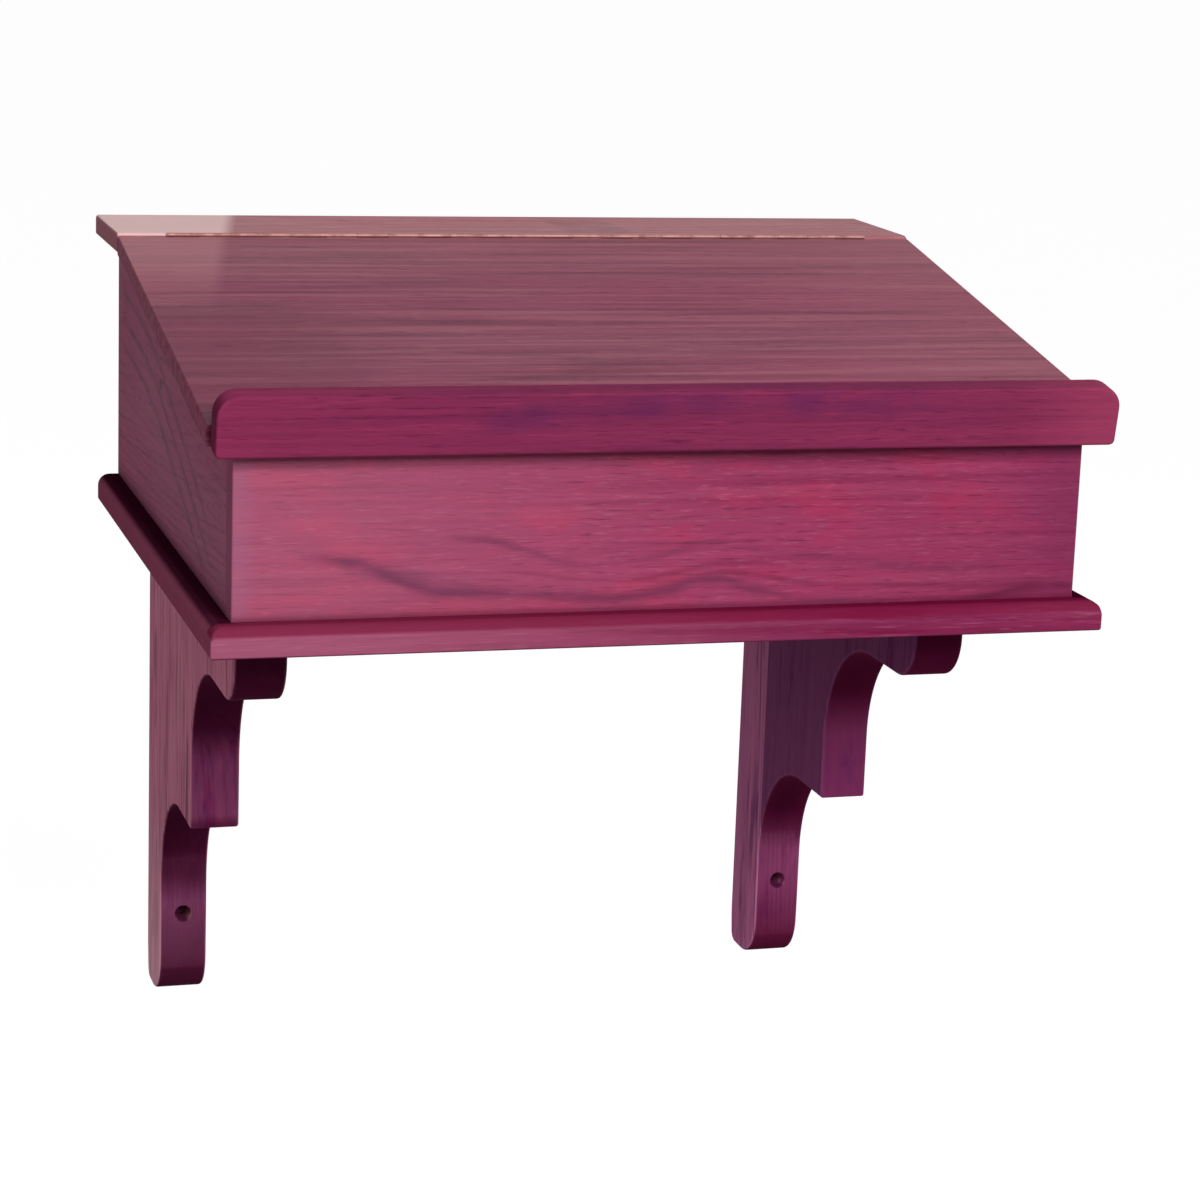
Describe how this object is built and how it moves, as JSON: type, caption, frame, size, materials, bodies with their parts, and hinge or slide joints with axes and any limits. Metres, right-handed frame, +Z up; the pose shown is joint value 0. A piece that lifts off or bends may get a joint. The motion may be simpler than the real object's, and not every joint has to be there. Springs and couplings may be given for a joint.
{
  "type": "wall-mounted registration stand",
  "caption": "Slant-top writing box with a hinged lid, raised lip and flat ledge, on a rounded shelf carried by two step-cut wall brackets.",
  "frame": {"origin": "on the wall plane, at mid-width, on the line of the two upper wall screws", "axes": "+X across to the viewer's right, +Y into the wall, +Z up"},
  "size_m": [0.636, 0.5469, 0.6313],
  "materials": {
    "stained_oak": "satin red stain on open-grained oak",
    "beech": "plain, unstained",
    "screw_steel": "zinc plated",
    "hinge_brass": "dull, tarnished to a rose tone"
  },
  "bodies": {
    "case": {"base_shelf": "stained_oak", "left_side": "stained_oak", "right_side": "stained_oak", "front_apron": "stained_oak", "back_panel": "stained_oak", "hanging_rail": "stained_oak", "top_ledge": "stained_oak", "left_bracket": "stained_oak", "right_bracket": "stained_oak", "ledge_dowels": "beech", "apron_dowels": "beech", "rail_dowels": "beech", "side_screws": "screw_steel", "apron_screws": "screw_steel", "bracket_screws": "screw_steel", "back_brads": "screw_steel", "hinge_ledge_leaf": "hinge_brass", "hinge_pin": "screw_steel", "ledge_hinge_screws": "hinge_brass"},
    "lid": {"lid_panel": "stained_oak", "lid_lip": "stained_oak", "lip_dowels": "beech", "hinge_lid_leaf": "hinge_brass", "lid_hinge_screws": "hinge_brass"}
  },
  "joints": [
    {"name": "lid_hinge", "type": "hinge", "parent": "case", "child": "lid", "pos_m": [0, -0.119, 0.04569], "axis": [-1, 0, 0], "range_deg": [0, 112]}
  ]
}
